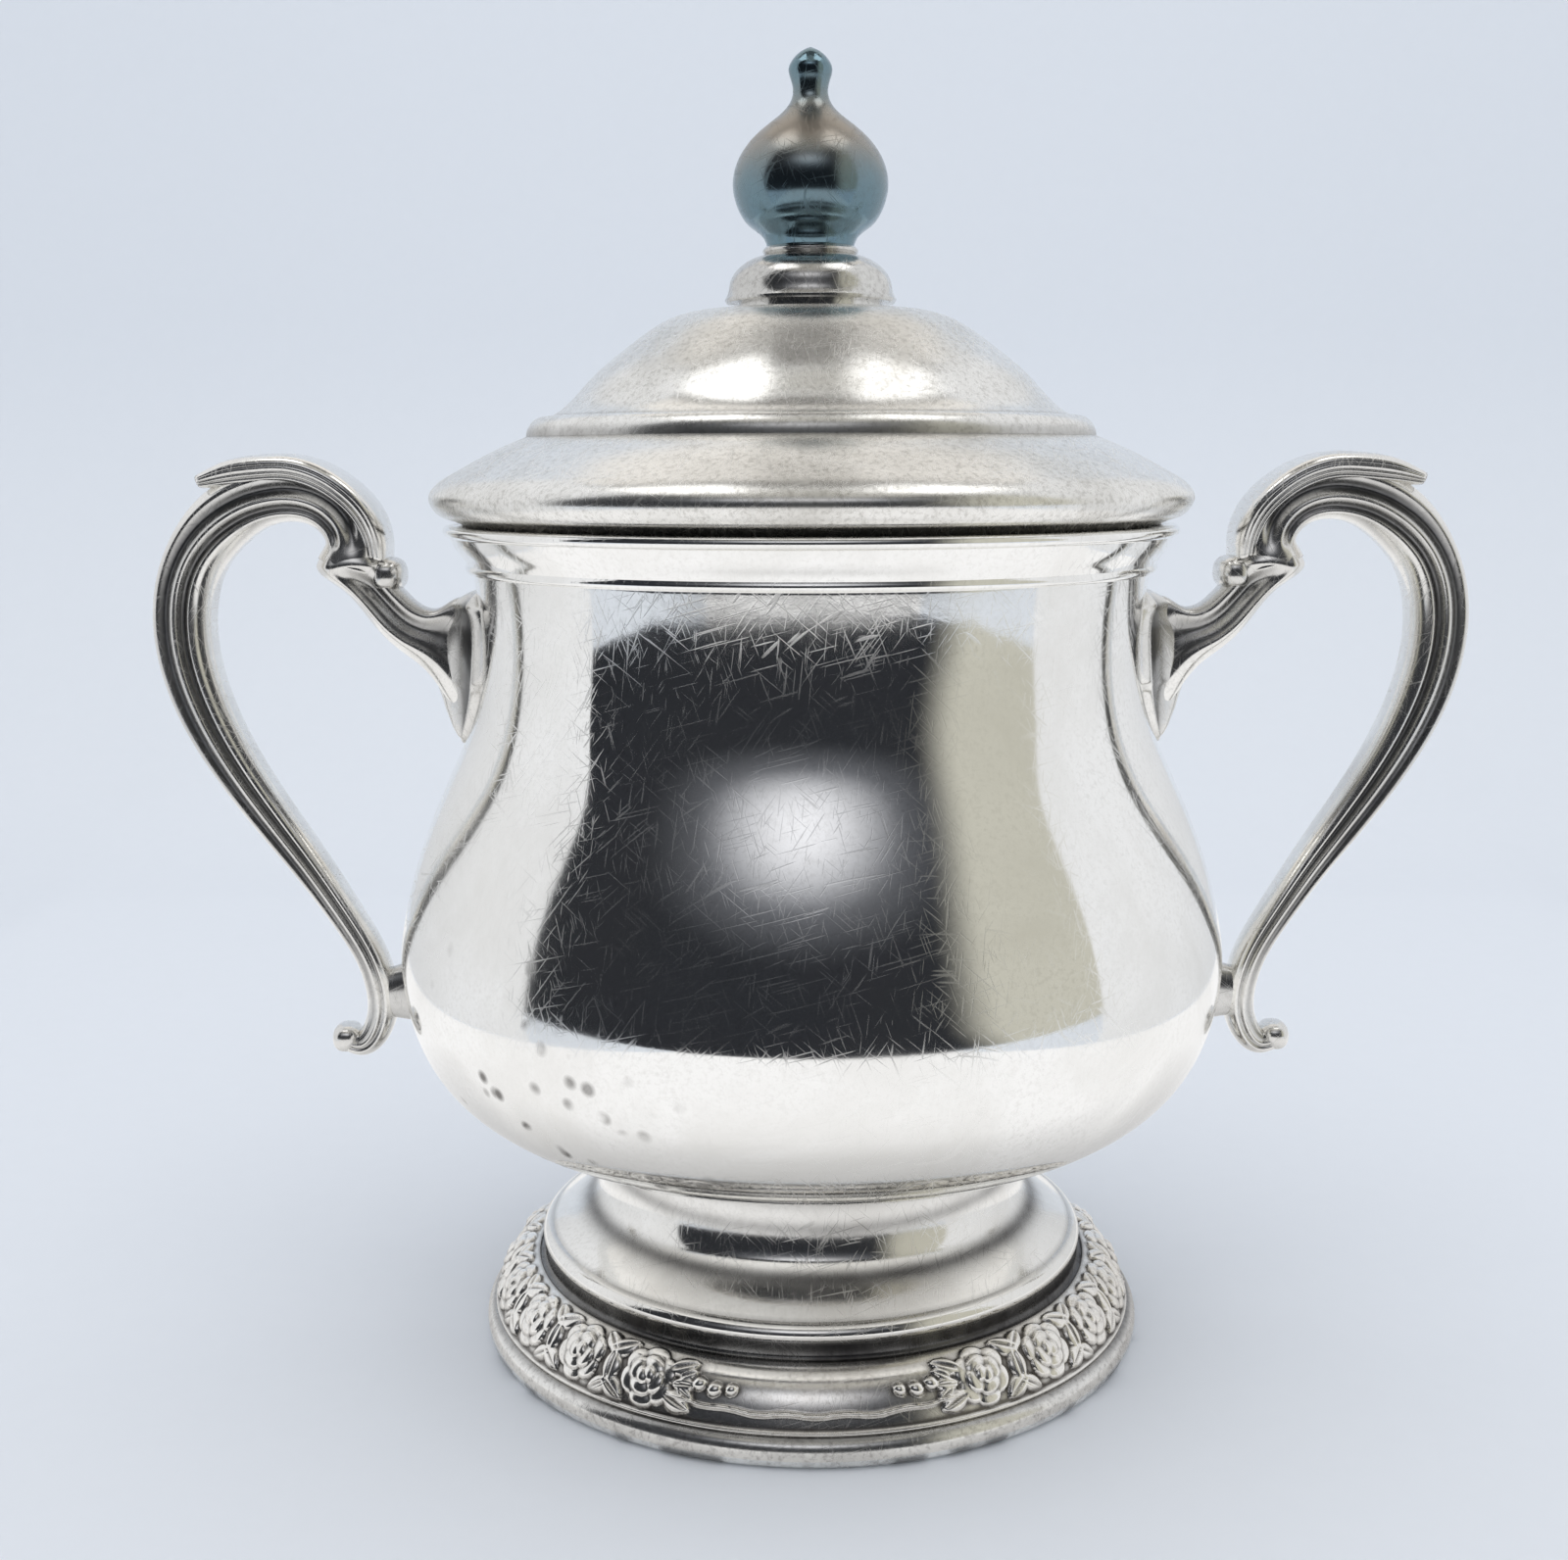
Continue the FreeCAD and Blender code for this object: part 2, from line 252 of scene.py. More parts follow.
class Kit:
    """Short names for the nodes of one material."""

    def __init__(self, name):
        self.material = bpy.data.materials.new(name)
        self.material.use_nodes = True
        self.tree = self.material.node_tree
        self.shader = self.tree.nodes["Principled BSDF"]
        self.place = self.node("ShaderNodeTexCoord").outputs["Object"]

    def node(self, kind, **settings):
        node = self.tree.nodes.new(kind)
        for key, value in settings.items():
            setattr(node, key, value)
        return node

    def set(self, socket, value):
        """Feeds a socket from another socket, or sets it to a constant."""
        if isinstance(value, bpy.types.NodeSocket):
            self.tree.links.new(value, socket)
        else:
            socket.default_value = value

    def math(self, operation, first, second, clamp=False):
        node = self.node("ShaderNodeMath", operation=operation, use_clamp=clamp)
        self.set(node.inputs[0], first)
        self.set(node.inputs[1], second)
        return node.outputs[0]

    def remap(self, value, low, high, to_low=0.0, to_high=1.0):
        node = self.node("ShaderNodeMapRange")
        self.set(node.inputs["Value"], value)
        sockets = ("From Min", "From Max", "To Min", "To Max")
        for socket, number in zip(sockets, (low, high, to_low, to_high)):
            node.inputs[socket].default_value = number
        return node.outputs["Result"]

    def mix(self, share, first, second):
        """Mixes two colours. They are a Mix node's inputs 6 and 7 and output 2."""
        node = self.node("ShaderNodeMix", data_type="RGBA")
        self.set(node.inputs["Factor"], share)
        for socket, value in ((node.inputs[6], first), (node.inputs[7], second)):
            self.set(socket, (*value, 1) if isinstance(value, tuple) else value)
        return node.outputs[2]

    def moved(self, turn, stretch):
        """The object's coordinates turned and then stretched."""
        turned = self.node("ShaderNodeMapping")
        self.set(turned.inputs["Vector"], self.place)
        turned.inputs["Rotation"].default_value = turn
        scaled = self.node("ShaderNodeMapping")
        self.set(scaled.inputs["Vector"], turned.outputs["Vector"])
        scaled.inputs["Scale"].default_value = stretch
        return scaled.outputs["Vector"]

    def noise(self, scale, detail=5.0, rough=0.6, distortion=0.0, source=None):
        node = self.node("ShaderNodeTexNoise")
        self.set(node.inputs["Vector"], source or self.place)
        node.inputs["Scale"].default_value = scale
        node.inputs["Detail"].default_value = detail
        node.inputs["Roughness"].default_value = rough
        node.inputs["Distortion"].default_value = distortion
        return node.outputs["Fac"]

    def hairlines(self, scale, turn, thin, share):
        """Short straight scratches: the peaks of a noise squeezed one way."""
        field = self.noise(scale, 0.0, 0.5, 0.0, self.moved(turn, (1, 1, thin)))
        return self.remap(field, share, share + 0.05)

    def relief(self, height, strength, distance):
        node = self.node("ShaderNodeBump")
        node.inputs["Strength"].default_value = strength
        node.inputs["Distance"].default_value = distance
        self.set(node.inputs["Height"], height)
        return node.outputs["Normal"]


PIT_PLACE = (-0.032, -0.036, 0.038)       # low on the front left of the belly, metres
PIT_TINT = (0.16, 0.15, 0.14)
RIPPLE = 0.3                              # unevenness of the plate under its shine
SCRATCH_FIELDS = (
    # scale of the noise, how it is turned, how far it is squeezed, and its
    # level above which there is a scratch
    (150, (0.1, 0.25, 0.0), 34, 0.73), (220, (0.0, 0.95, 0.3), 24, 0.73), (170, (0.2, -0.7, 0.1), 32, 0.73),
    (260, (0.3, 1.45, 0.6), 22, 0.72), (230, (-0.2, -1.2, -0.5), 26, 0.73), (190, (1.2, 0.2, 0.4), 24, 0.73),
)


def silver(name, tint, roughness, stain_tint, stain, haze, scratches=0.22, pits=0.0, grain=0.0,
           recess_tint=(0.035, 0.033, 0.036)):
    """Worn silver plate: cloudy stain, hazy wiping marks, hairline scratches,
    optional pits and grain, and dark recesses: partly patina, partly painted shade and painted reflection."""
    kit = Kit(name)
    clouds = kit.noise(38, 8, 0.68, 0.4)
    fine = kit.noise(1500, 3, 0.7)
    stain_share = kit.math("MULTIPLY", kit.remap(clouds, 0.42, 0.74), stain, clamp=True)
    lines = kit.hairlines(*SCRATCH_FIELDS[0])
    for field in SCRATCH_FIELDS[1:]:
        lines = kit.math("MAXIMUM", lines, kit.hairlines(*field))
    lines = kit.math("MULTIPLY", lines, kit.remap(kit.noise(22, 3), 0.35, 0.6, 0.25, 1.0))
    recess = kit.node("ShaderNodeAttribute", attribute_name="recess").outputs["Fac"]
    colour = kit.mix(stain_share, tint, stain_tint)
    speckle = kit.math("MULTIPLY", kit.remap(fine, 0.48, 0.68),
                       kit.remap(clouds, 0.3, 0.6, 0.25, grain), clamp=True)
    colour = kit.mix(speckle, colour, tuple(0.7 * c for c in stain_tint))
    rough = kit.math("ADD", kit.remap(clouds, 0.35, 0.8, roughness, roughness + haze),
                     kit.math("MULTIPLY", fine, 0.25 * haze))
    rough = kit.math("ADD", rough, kit.math("MULTIPLY", lines, scratches))
    if pits:
        spots = kit.node("ShaderNodeTexVoronoi")
        kit.set(spots.inputs["Vector"], kit.place)
        spots.inputs["Scale"].default_value = 300
        pit = kit.math("MULTIPLY", kit.remap(spots.outputs["Distance"], 0.16, 0.34, 1.0, 0.0),
                       kit.remap(kit.noise(90, 2), 0.50, 0.57), clamp=True)
        away = kit.node("ShaderNodeVectorMath", operation="DISTANCE")
        kit.set(away.inputs[0], kit.place)
        away.inputs[1].default_value = PIT_PLACE
        pit = kit.math("MULTIPLY", pit, kit.remap(away.outputs["Value"], 0.012, 0.026, 1.0, 0.0))
        colour = kit.mix(kit.math("MULTIPLY", pit, pits), colour, PIT_TINT)
        rough = kit.math("ADD", rough, kit.math("MULTIPLY", pit, 0.3))
    # recess darkening: partly patina, partly painted shade and painted dark reflection
    tarnish_and_shade = kit.math("MULTIPLY", recess, kit.remap(clouds, 0.25, 0.65, 0.75, 1.0), clamp=True)
    colour = kit.mix(tarnish_and_shade, colour, recess_tint)
    rough = kit.math("ADD", rough, kit.math("MULTIPLY", tarnish_and_shade, 0.18))
    height = kit.math("ADD", kit.math("MULTIPLY", clouds, RIPPLE), kit.math("MULTIPLY", lines, -0.06))
    kit.set(kit.shader.inputs["Base Color"], colour)
    kit.set(kit.shader.inputs["Roughness"], rough)
    kit.shader.inputs["Metallic"].default_value = 1.0
    kit.set(kit.shader.inputs["Normal"], kit.relief(height, 0.12, 0.0004))
    return kit.material


BRIGHT = (0.955, 0.95, 0.93)

bowl_silver = silver("bowl_plate", BRIGHT, 0.035, (0.60, 0.58, 0.53), stain=0.42, haze=0.10, pits=0.9)
# the foot's near-black recess tint is painted shade and painted dark reflection
foot_silver = silver("foot_plate", (0.94, 0.93, 0.90), 0.055, (0.50, 0.47, 0.42), stain=0.45, haze=0.10,
                     recess_tint=(0.012, 0.011, 0.014))
# the border's brown-black recess tint is patina in the creases and painted shade there
border_silver = silver("border_plate", (0.95, 0.93, 0.89), 0.11, (0.50, 0.45, 0.38), stain=0.45, haze=0.12,
                       grain=0.3, scratches=0.08, recess_tint=(0.055, 0.046, 0.040))
rim_silver = silver("rim_plate", (0.90, 0.89, 0.86), 0.12, (0.25, 0.23, 0.22), stain=0.7, haze=0.2, grain=0.5,
                    scratches=0.08)
# the handles' navy-black recess tint is mostly painted dark reflection
handle_silver = silver("handle_plate", (0.90, 0.89, 0.86), 0.11, (0.42, 0.39, 0.36), stain=0.5, haze=0.15,
                       recess_tint=(0.022, 0.025, 0.034))
lid_silver = silver("lid_plate", (0.90, 0.89, 0.86), 0.17, (0.52, 0.50, 0.455), stain=0.7, haze=0.16,
                    grain=0.55, scratches=0.12)
inner_silver = silver("bezel_plate", (0.86, 0.85, 0.82), 0.20, (0.50, 0.46, 0.40), stain=0.5, haze=0.2)
cup_silver = silver("cup_plate", (0.74, 0.735, 0.71), 0.10, (0.33, 0.31, 0.29), stain=0.8, haze=0.15,
                    grain=0.5)
bulb_silver = silver("bulb_plate", (0.17, 0.27, 0.32), 0.09, (0.14, 0.18, 0.20), stain=0.7, haze=0.10,
                     grain=0.2, recess_tint=(0.38, 0.32, 0.26))
brass = silver("fittings", (0.72, 0.55, 0.28), 0.25, (0.35, 0.25, 0.13), stain=0.7, haze=0.2, grain=0.4)


# ---- bowl -------------------------------------------------------------------

WALL = 1.0
PLATE = 0.9               # wall of the lid and of the foot
MOUTH_OUTER = 43.0
MOUTH_INNER = MOUTH_OUTER - WALL
BOWL_FLOOR = 27.0
BOWL_TOP = 106.2
RIM_TOP = 107.1

BOWL_OUTSIDE = smooth([
    (MOUTH_OUTER, 101.4), (42.4, 96.0), (42.2, 91.5), (43.1, 84.0), (46.7, 75.0), (50.4, 66.2), (52.9, 57.2),
    (53.6, 51.5), (53.0, 46.2), (50.4, 39.2), (47.0, 35.0), (42.6, 32.0), (36.8, 29.7), (30.6, 27.9),
    (24.0, BOWL_FLOOR),
])


def make_bowl():
    inside = inset(BOWL_OUTSIDE, WALL)
    inside[0] = (MOUTH_INNER, BOWL_OUTSIDE[0][1])
    inside[-1] = (inside[-1][0], BOWL_FLOOR + WALL)
    runs = [
        [(MOUTH_INNER, BOWL_TOP), *inside],
        [(0, BOWL_FLOOR + WALL)],
        [(0, BOWL_FLOOR)],
        [*BOWL_OUTSIDE[::-1], (MOUTH_OUTER, BOWL_TOP)],
    ]
    turned_piece("bowl_body", runs, bowl_silver, "bowl", "bowl_shell")


def make_mouth_band():
    bead = smooth([(MOUTH_OUTER, 101.0), (43.6, 101.15), (43.95, 101.6), (43.75, 102.2)])
    flare = smooth([(43.75, 102.2), (44.1, 102.8), (44.6, 103.5), (45.3, 104.6), (45.8, 105.6)])
    lip = smooth([(45.8, 105.6), (46.4, 105.9), (46.6, 106.4), (46.3, 106.9), (45.7, RIM_TOP)])
    runs = [bead, flare, lip, [(MOUTH_INNER, RIM_TOP)], [(MOUTH_INNER, BOWL_TOP)], [(MOUTH_OUTER, BOWL_TOP)]]
    turned_piece("mouth_moulding", runs, bowl_silver, "bowl", "mouth_band")


# ---- foot -------------------------------------------------------------------

BORDER_BACK = 8.6
BORDER_INNER = 36.8
RIM_WIRE_TOP = 3.7
RIM_WIRE_INNER = 41.3
FOOT_DOME = 34.9          # where the pedestal's dome meets its bead
FOOT_DOME_EDGE = 14.2

PEDESTAL_OUTSIDE = smooth([
    (28.3, 28.0), (27.4, 26.8), (27.0, 24.0), (27.3, 21.2), (28.2, 18.8), (30.1, 17.0), (32.6, 15.6),
    (FOOT_DOME, FOOT_DOME_EDGE),
])
BORDER_OUTSIDE = smooth([
    (BORDER_INNER, 10.1), (38.6, 9.5), (40.3, 8.1), (41.6, 6.1), (42.2, 4.9), (42.7, RIM_WIRE_TOP),
], 12)


def make_pedestal():
    bead = smooth([(FOOT_DOME, FOOT_DOME_EDGE), (35.8, 13.8), (36.3, 13.0), (36.1, 12.0)])
    groove = smooth([(36.1, 12.0), (35.95, 11.0), (36.1, 10.2), (BORDER_INNER, 9.9)])
    inside = inset(PEDESTAL_OUTSIDE, PLATE)
    inside[-1] = (34.1, 13.4)
    runs = [
        PEDESTAL_OUTSIDE, bead, groove, [(BORDER_INNER, BORDER_BACK)], [(35.4, BORDER_BACK)], inside[::-1],
    ]
    points, faces, sharp = lathe(runs)
    radius, level = radius_and_level(points)
    # painted dark reflection on the groove's upright face, painted shade in the crease where the dome meets
    # the bead, painted shade under the bowl and painted dark bands round the neck
    groove_painted_reflection = 0.95 * ramp(12.7 - level, 0, 0.9) * (radius > 35.5)
    bead_painted_shade = 0.35 * bump(level, FOOT_DOME_EDGE, 0.2) * (radius > 34.4)
    neck_painted_shade = 0.2 * ramp(level, 18, 27) + 0.45 * bump(level, 22.4, 0.9) + 0.85 * bump(level, 17.2, 0.8)
    recess = groove_painted_reflection + bead_painted_shade + neck_painted_shade
    mesh_piece("foot_pedestal_spun", [(points, faces, recess)], foot_silver, "bowl",
               ["foot_pedestal"], sharp)


def turned(a, b, centre, turn):
    """Places on the border measured from a centre, along and across a turn."""
    a = a - centre[0]
    b = b - centre[1]
    return a * math.cos(turn) + b * math.sin(turn), -a * math.sin(turn) + b * math.cos(turn)


def dome(a, b, centre, size, turn, squeeze):
    """1 at the middle of an oval, falling to 0 at its edge and below outside."""
    u, v = turned(a, b, centre, turn)
    return 1 - (u / size) ** 2 - (v / (size * squeeze)) ** 2


# rings of a rose: petals, then their reach, size and lift in rose sizes
PETAL_RINGS = ((6, 0.62, 0.46, 0.0), (4, 0.32, 0.40, 0.30), (2, 0.10, 0.26, 0.55))


def rose_height(a, b, size):
    """An open rose: outer petals, inner petals half a step round, and a bud."""
    height = np.full_like(a, -1.0)
    for ring, (count, reach, radius, lift) in enumerate(PETAL_RINGS):
        for i in range(count):
            turn = 2 * math.pi * (i + 0.5 * ring) / count + 0.4
            centre = (size * reach * math.cos(turn), size * reach * math.sin(turn))
            petal = dome(a, b, centre, size * radius, turn + math.pi / 2, 0.8)
            # each petal is highest at its outer lip
            lean = turned(a, b, centre, turn)[0] / size
            shape = np.where(petal > 0, lift + 0.42 * np.sqrt(np.clip(petal, 0, 1)) + 0.5 * lean, -1.0)
            height = np.maximum(height, shape)
    return height


def leaf_height(a, b, centre, size, turn):
    """A pointed leaf with a sunk midrib."""
    u, v = turned(a, b, centre, turn)
    half = 0.6 * size * np.clip(1 - (u / size) ** 2, 0, 1)
    inside = (np.abs(u) < size) & (np.abs(v) < half)
    crown = np.sqrt(np.clip(1 - (v / np.maximum(half, 1e-6)) ** 2, 0, 1))
    vein = bump(v, 0, 0.09 * size)
    return np.where(inside, 0.55 * crown - 0.28 * vein, -1.0)


ROSES = (29.2, 44.4, 59.6, 74.8, 90.0)    # degrees from the front, both ways round
HALF_SPACING = 7.6                        # from a rose to the leaves beside it
ROSE_SIZE = 3.75
# centre, size and turn of each leaf between two roses, and of the spray that
# ends the row
LEAVES = (((-0.7, -2.4), 2.2, 0.5), ((1.2, -2.6), 1.8, -0.7), ((0.0, 0.2), 2.2, 1.6),
          ((-0.9, 2.5), 2.1, -0.5), ((1.1, 2.7), 1.8, 0.6))
SPRAY = (((-4.2, -1.9), 2.0, 0.4), ((-4.3, 2.1), 2.1, -0.35), ((-4.9, 0.1), 1.6, 0.1),
         ((-5.3, 1.1), 1.3, -0.5), ((-5.2, -1.1), 1.2, 0.5))
# degrees from the front, place across the border, and size
BERRIES = ((19.6, 0.46, 0.95), (16.9, 0.50, 1.0), (14.0, 0.48, 0.85))
BORDER_RELIEF = 1.1


def border_height(degrees, place, radius, length):
    """Relief of the border: degrees from the front or back centre (0 to 90),
    place from 0 at the inner edge to 1 at the rim. In units of relief."""
    height = np.zeros_like(degrees)
    b = (place - 0.5) * length
    for angle in ROSES:
        height = np.maximum(height, rose_height(np.radians(degrees - angle) * radius, b, ROSE_SIZE))
    sprigs = [(angle + HALF_SPACING, LEAVES) for angle in ROSES[:-1]] + [(ROSES[0], SPRAY)]
    for angle, leaves in sprigs:
        a = np.radians(degrees - angle) * radius
        for centre, size, turn in leaves:
            height = np.maximum(height, leaf_height(a, b, centre, size, turn))
    for angle, share, size in BERRIES:
        a = np.radians(degrees - angle) * radius
        grain = dome(a, b, (0, (share - 0.5) * length), size, 0.5, 0.85)
        height = np.maximum(height, np.where(grain > 0, 0.7 * np.sqrt(np.clip(grain, 0, 1)), -1.0))
    wave = 0.735 + 0.014 * np.cos(np.radians(degrees) * 38) - 0.06 * ramp(degrees, 8, 26)
    ridge = 0.42 * bump(place, wave, 0.020) * (1 - ramp(degrees, 22, 25))
    lip = 0.30 * bump(place, 0.96, 0.025)
    return height + ridge + lip


def make_border(steps_round=1800, rows=60):
    """The floral border: plain panels at the front and back centre, sprays
    and roses round to the handles, darkened in the hollows."""
    run = np.cumsum(np.r_[0, np.linalg.norm(np.diff(BORDER_OUTSIDE, axis=0), axis=1)])
    length = run[-1]
    places = np.linspace(0, 1, rows)
    radius = np.interp(places * length, run, BORDER_OUTSIDE[:, 0])
    level = np.interp(places * length, run, BORDER_OUTSIDE[:, 1])
    tangent = unit_tangents(np.stack([radius, level], axis=1))
    turn = np.arange(steps_round) * 360 / steps_round
    from_front = (turn - 90) % 180
    from_front = np.minimum(from_front, 180 - from_front)
    degrees, place = np.meshgrid(from_front, places, indexing="ij")
    height = border_height(degrees, place, radius[None, :], length)
    fade = ramp(place, 0.0, 0.06) * (1 - ramp(place, 0.975, 1.0))
    raised = BORDER_RELIEF * np.clip(height, 0, 1.3) * fade
    blurred = raised.copy()
    for _ in range(6):
        blurred = (blurred + np.roll(blurred, 2, axis=0) + np.roll(blurred, -2, axis=0)) / 3
        padded = np.pad(blurred, ((0, 0), (1, 1)), mode="edge")
        blurred = (padded[:, :-2] + padded[:, 1:-1] + padded[:, 2:]) / 3
    # darker where the relief sinks below its blurred surroundings, along the inner edge and in a line near
    # the rim: partly patina, partly painted shade
    recess = np.clip((blurred - raised) * 5.5, 0, 1)
    recess = np.clip(recess + 0.8 * bump(place, 0.0, 0.04) + 0.75 * bump(place, 0.90, 0.035), 0, 1)
    r = radius[None, :] - tangent[None, :, 1] * raised
    z = level[None, :] + tangent[None, :, 0] * raised
    angle = np.radians(turn)[:, None]
    front = np.stack([r * np.cos(angle), r * np.sin(angle), z], axis=2).reshape(-1, 3)
    back_r = np.array([RIM_WIRE_INNER, 40.3, 39.0, 37.6, BORDER_INNER])
    back_z = np.broadcast_to([RIM_WIRE_TOP, 5.6, 7.1, 8.2, BORDER_BACK], (steps_round, len(back_r)))
    back = np.stack([back_r * np.cos(angle), back_r * np.sin(angle), back_z], axis=2).reshape(-1, 3)
    faces = []
    total = rows + len(back_r)

    def index(i, k):
        i %= steps_round
        k %= total
        return i * rows + k if k < rows else steps_round * rows + i * len(back_r) + k - rows

    for i in range(steps_round):
        for k in range(total):
            faces.append((index(i, k), index(i + 1, k), index(i + 1, k + 1), index(i, k + 1)))
    shade = np.r_[recess.reshape(-1), np.full(len(back), 0.3)]
    mesh_piece("rose_border", [(np.vstack([front, back]), faces, shade)], border_silver, "bowl",
               ["foot_border"])


def make_rim():
    face = smooth([(43.0, RIM_WIRE_TOP), (43.5, 3.3), (44.0, 2.0), (43.7, 0.7), (42.8, 0.0)])
    points, faces, sharp = lathe([[(RIM_WIRE_INNER, RIM_WIRE_TOP)], face, [(RIM_WIRE_INNER, 0.0)]], 720)
    x, y, z = np.array(points).T
    turn = np.arctan2(y, x)
    # worn patches, uneven round the lower edge of the outer face
    uneven = np.sin(9 * turn) + np.sin(23 * turn + 1.3) + 0.8 * np.sin(47 * turn + 0.4)
    low = (1 - ramp(z, 0.9, 2.0)) * (np.hypot(x, y) > 42.9)
    worn = 0.8 * ramp(uneven, -0.2, 1.2) * low + 0.6 * bump(z, RIM_WIRE_TOP, 0.35)
    mesh_piece("foot_rim_wire", [(points, faces, worn)], rim_silver, "bowl", ["foot_rim"], sharp)


# ---- lid --------------------------------------------------------------------

LID_CROWN = 133.4
LID_UNDER = LID_CROWN - PLATE
FLANGE_OUTER = 44.0
FLANGE_TOP = RIM_TOP + 1
BEZEL_OUTER = 41.5
BEZEL_INNER = 40.6
BEZEL_BOTTOM = 101.6
STUD = 1.6                # radius of the stud through the lid and the finial
STUD_TOP = 150.0
CUP_BOTTOM = 134.4
CUP_TOP = 141.2
FINIAL_TOP = 165.2
BUD_TIP = FINIAL_TOP - 0.8                # above this the bud has no crisp edge


def make_lid():
    dome_out = smooth([(12.0, LID_CROWN), (15.5, 133.1), (18.6, 132.0), (22.9, 129.1), (27.9, 124.9),
                       (31.7, 121.1), (33.0, 120.3)])
    step = smooth([(33.0, 120.3), (34.2, 120.3), (35.2, 119.7), (35.8, 118.8), (36.0, 117.9)])
    skirt = smooth([(36.0, 117.9), (40.4, 116.0), (45.2, 113.4), (47.4, 111.9), (48.2, 110.5), (47.8, 109.2),
                    (46.8, 108.2), (45.4, 107.7)])
    skirt_in = smooth([(44.6, 108.9), (46.3, 109.6), (47.0, 110.6), (46.4, 111.4), (44.6, 112.6),
                       (39.9, 115.1), (35.4, 116.9)])
    dome_in = smooth([(32.6, 118.9), (31.0, 120.3), (27.2, 124.1), (22.3, 128.3), (18.2, 131.1),
                      (15.3, 132.2), (12.0, LID_UNDER)])
    runs = [
        [(STUD, LID_CROWN), *dome_out], step, skirt, [(FLANGE_OUTER, RIM_TOP)], [(BEZEL_OUTER, RIM_TOP)],
        [(BEZEL_OUTER, FLANGE_TOP)], [(FLANGE_OUTER, FLANGE_TOP)], skirt_in, dome_in, [(STUD, LID_UNDER)],
    ]
    points, faces, sharp = lathe(runs)
    radius, level = radius_and_level(points)
    above_step = 0.45 * bump(level, 120.3, 0.25) * bump(radius, 32.9, 0.7)
    below_step = 0.5 * bump(radius, 36.1, 0.35) * (level > 117.5)
    mesh_piece("lid_dome", [(points, faces, above_step + below_step)], lid_silver, "lid",
               ["lid_shell"], sharp)
    bezel = [
        [(BEZEL_INNER, BEZEL_BOTTOM), (BEZEL_OUTER, BEZEL_BOTTOM)], [(BEZEL_OUTER, FLANGE_TOP)],
        [(BEZEL_INNER, FLANGE_TOP)], [(BEZEL_INNER, BEZEL_BOTTOM)],
    ]
    turned_piece("lid_bezel_ring", bezel, inner_silver, "lid", "lid_bezel")


def make_finial():
    seat = [[(STUD, LID_CROWN)], [(9.0, LID_CROWN)], [(9.0, CUP_BOTTOM)], [(STUD, CUP_BOTTOM)]]
    turned_piece("finial_seat_disc", seat, cup_silver, "lid", "finial_seat", 144)
    bell = smooth([(10.8, 134.8), (10.4, 135.6), (10.1, 137.0), (9.2, 138.5), (7.5, 139.7), (5.7, 140.3)])
    bead = smooth([(5.7, 140.3), (6.0, 140.7), (5.7, CUP_TOP)])
    cup = [[(STUD, CUP_BOTTOM)], [(10.6, CUP_BOTTOM)], bell, bead, [(STUD, CUP_TOP)]]
    turned_piece("finial_cup_bell", cup, cup_silver, "lid", "finial_cup", 144)
    bulb = smooth([(5.4, CUP_TOP), (5.9, 142.4), (7.7, 143.9), (9.1, 146.0), (9.7, 148.5), (9.2, 151.3),
                   (7.3, 154.2), (4.6, 156.5), (2.8, 158.2), (2.2, 159.6), (2.4, 161.2), (2.7, 162.7),
                   (2.2, 163.7), (1.1, 164.7), (0.0, FINIAL_TOP)])
    runs = [bulb[:-1], [(0.0, FINIAL_TOP)], [(0.0, STUD_TOP)], [(STUD, STUD_TOP)], [(STUD, CUP_TOP)]]
    points, faces, sharp = lathe(runs, 192)
    sharp = [pair for pair in sharp if points[pair[0]][2] < BUD_TIP]
    # brown tarnish on the shoulder, blue above and below it
    brown = 0.9 * bump(radius_and_level(points)[1], 155.0, 4.5)
    mesh_piece("finial_onion", [(points, faces, brown)], bulb_silver, "lid", ["finial_bulb"],
               sharp)


# ---- handles ----------------------------------------------------------------

# middle line (x, z) of the scroll, then half its thickness and half its width
SCROLL_STATIONS = [
    (58.9, 101.5, 4.6, 4.3), (58.3, 104.4, 4.0, 3.9), (59.3, 107.8, 4.0, 4.0), (62.3, 110.5, 4.1, 4.2),
    (66.6, 111.5, 4.2, 4.4), (71.3, 110.5, 4.2, 4.5), (75.5, 107.5, 4.1, 4.5), (78.9, 103.1, 3.9, 4.4),
    (80.8, 97.4, 3.9, 4.3), (80.9, 91.0, 3.8, 4.2), (79.2, 84.0, 3.6, 4.0), (75.6, 76.4, 3.2, 3.8),
    (70.8, 68.9, 2.8, 3.5), (65.9, 61.9, 2.4, 3.3), (61.6, 55.2, 2.1, 3.1), (58.6, 49.6, 2.0, 3.0),
    (57.4, 44.6, 2.0, 2.9), (58.0, 40.4, 1.9, 2.8), (60.2, 37.9, 1.7, 2.7), (62.2, 38.3, 1.4, 2.5),
]
CAP_OUTER = [
    (54.1, 102.2), (54.0, 104.7), (54.4, 107.0), (55.5, 109.4), (57.4, 111.7), (59.9, 113.7), (62.6, 115.1),
    (65.8, 115.9), (69.6, 115.9), (74.3, 115.1), (77.8, 113.4),
]
CAP_INNER = [
    (57.0, 103.2), (57.3, 105.0), (57.9, 106.6), (59.0, 108.3), (60.6, 109.8), (62.3, 110.9), (64.2, 111.7),
    (66.6, 112.2), (70.0, 112.1), (73.8, 111.8), (77.3, 111.6),
]
